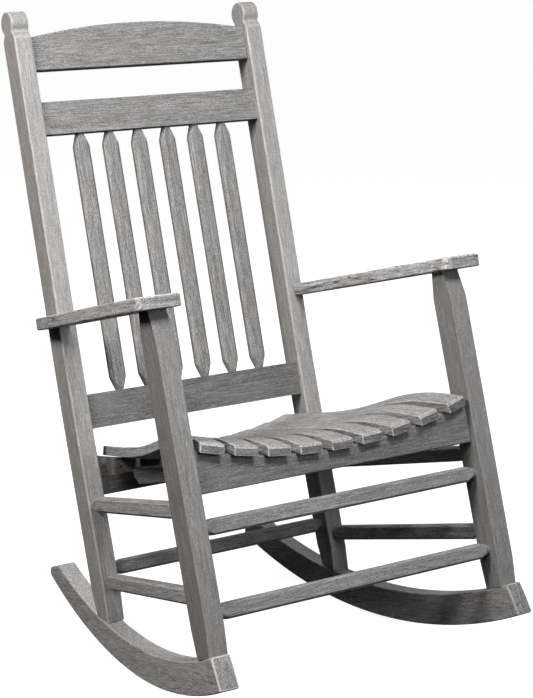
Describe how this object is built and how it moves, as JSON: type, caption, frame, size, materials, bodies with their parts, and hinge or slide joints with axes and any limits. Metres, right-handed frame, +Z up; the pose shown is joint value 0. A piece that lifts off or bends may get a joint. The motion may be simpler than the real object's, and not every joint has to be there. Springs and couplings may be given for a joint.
{
  "type": "rocking chair",
  "caption": "High-backed porch rocking chair with a slatted back, dished slat seat, flat arms and curved rockers.",
  "frame": {"origin": "on the floor, under the middle of the chair's overall box", "axes": "+X to the right as seen from the front (the -Y side), +Y towards the back, +Z up, with the chair at rest on its rockers"},
  "size_m": [0.714, 0.9024, 1.1587],
  "materials": {
    "board": "weathered grey, satin, straight grain",
    "board_shaded": "weathered grey, satin, straight grain"
  },
  "bodies": {
    "root": {"rocker_left": "board", "rocker_right": "board", "front_leg_left": "board", "front_leg_right": "board", "back_post_left": "board", "back_post_right": "board", "arm_left": "board", "arm_right": "board", "crest_rail": "board", "upper_back_rail": "board", "lower_back_rail": "board", "back_slat_1": "board", "back_slat_2": "board", "back_slat_3": "board", "back_slat_4": "board", "back_slat_5": "board", "back_slat_6": "board", "front_apron": "board", "rear_seat_rail": "board_shaded", "seat_cleat": "board_shaded", "seat_side_rail_left": "board_shaded", "seat_side_rail_right": "board_shaded", "seat_slat_1": "board", "seat_slat_2": "board", "seat_slat_3": "board", "seat_slat_4": "board", "seat_slat_5": "board", "seat_slat_6": "board", "seat_slat_7": "board", "seat_slat_8": "board", "seat_slat_9": "board", "front_rung_upper": "board", "front_rung_lower": "board", "rear_rung": "board", "side_rung_upper_left": "board", "side_rung_upper_right": "board", "side_rung_lower_left": "board", "side_rung_lower_right": "board"}
  },
  "joints": []
}
